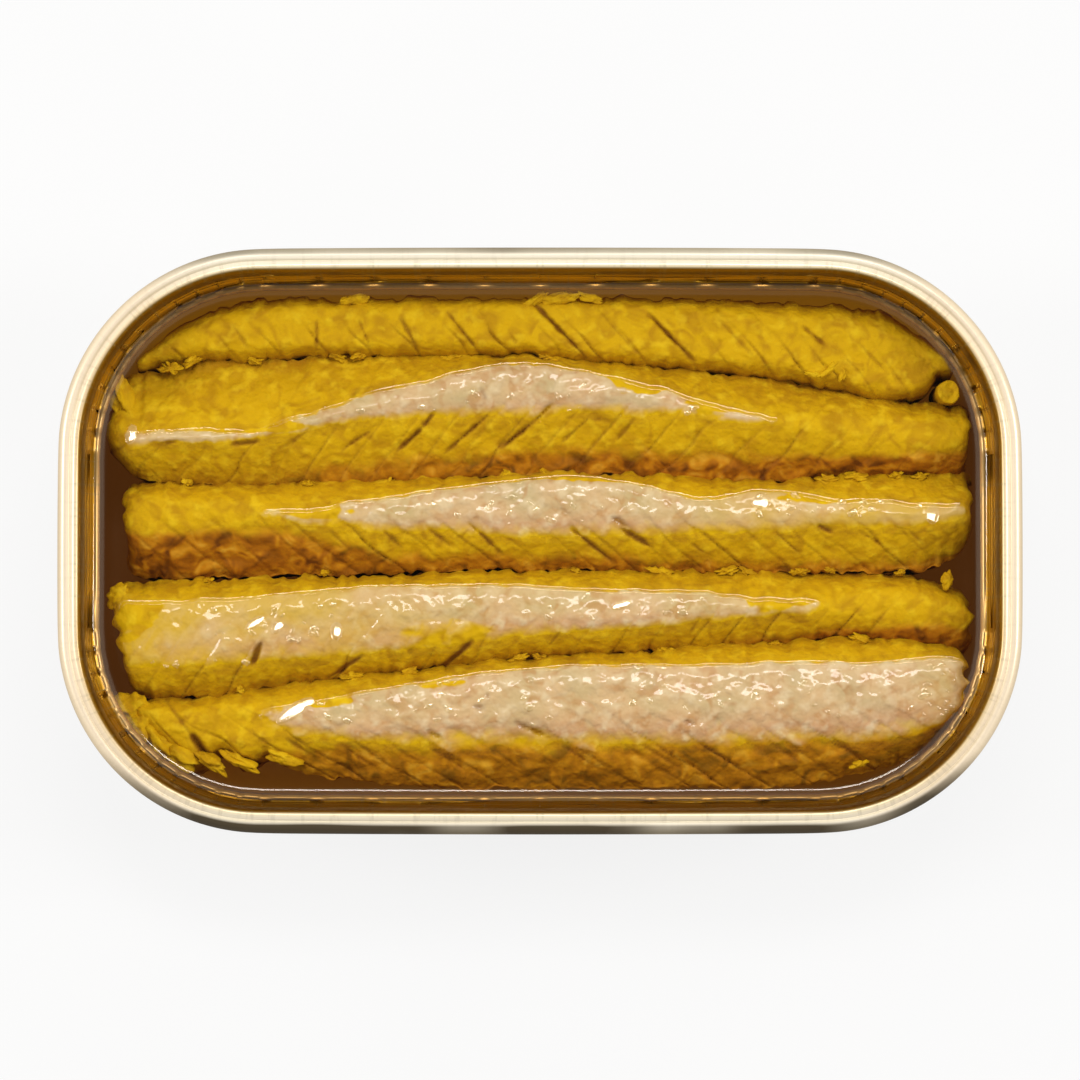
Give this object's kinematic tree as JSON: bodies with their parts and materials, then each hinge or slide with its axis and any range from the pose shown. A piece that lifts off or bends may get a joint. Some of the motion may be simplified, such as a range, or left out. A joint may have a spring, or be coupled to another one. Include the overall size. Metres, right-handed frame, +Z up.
{
  "type": "opened tin of mackerel fillets in oil",
  "caption": "Low rounded-corner aluminium tin with its lid pulled off, packed with long mackerel fillets side by side in yellow oil.",
  "frame": {"origin": "under the middle of the tin, on the surface it stands on", "axes": "+X along the tin's length, +Y across it towards the wholly covered fillet, +Z up"},
  "size_m": [0.106, 0.0644, 0.024],
  "materials": {
    "tin": "drawn sheet, satin outside",
    "rim": "pale gold lacquer, glossy",
    "fish": "cooked fish flesh, wet with oil",
    "oil": "clear yellow oil"
  },
  "bodies": {
    "root": {"tin_body": "tin", "seam_ring": "rim", "oil": "oil", "fillet_1": "fish", "fillet_2": "fish", "fillet_3": "fish", "fillet_4": "fish", "fillet_5": "fish", "fish_stub": "fish"}
  },
  "joints": []
}
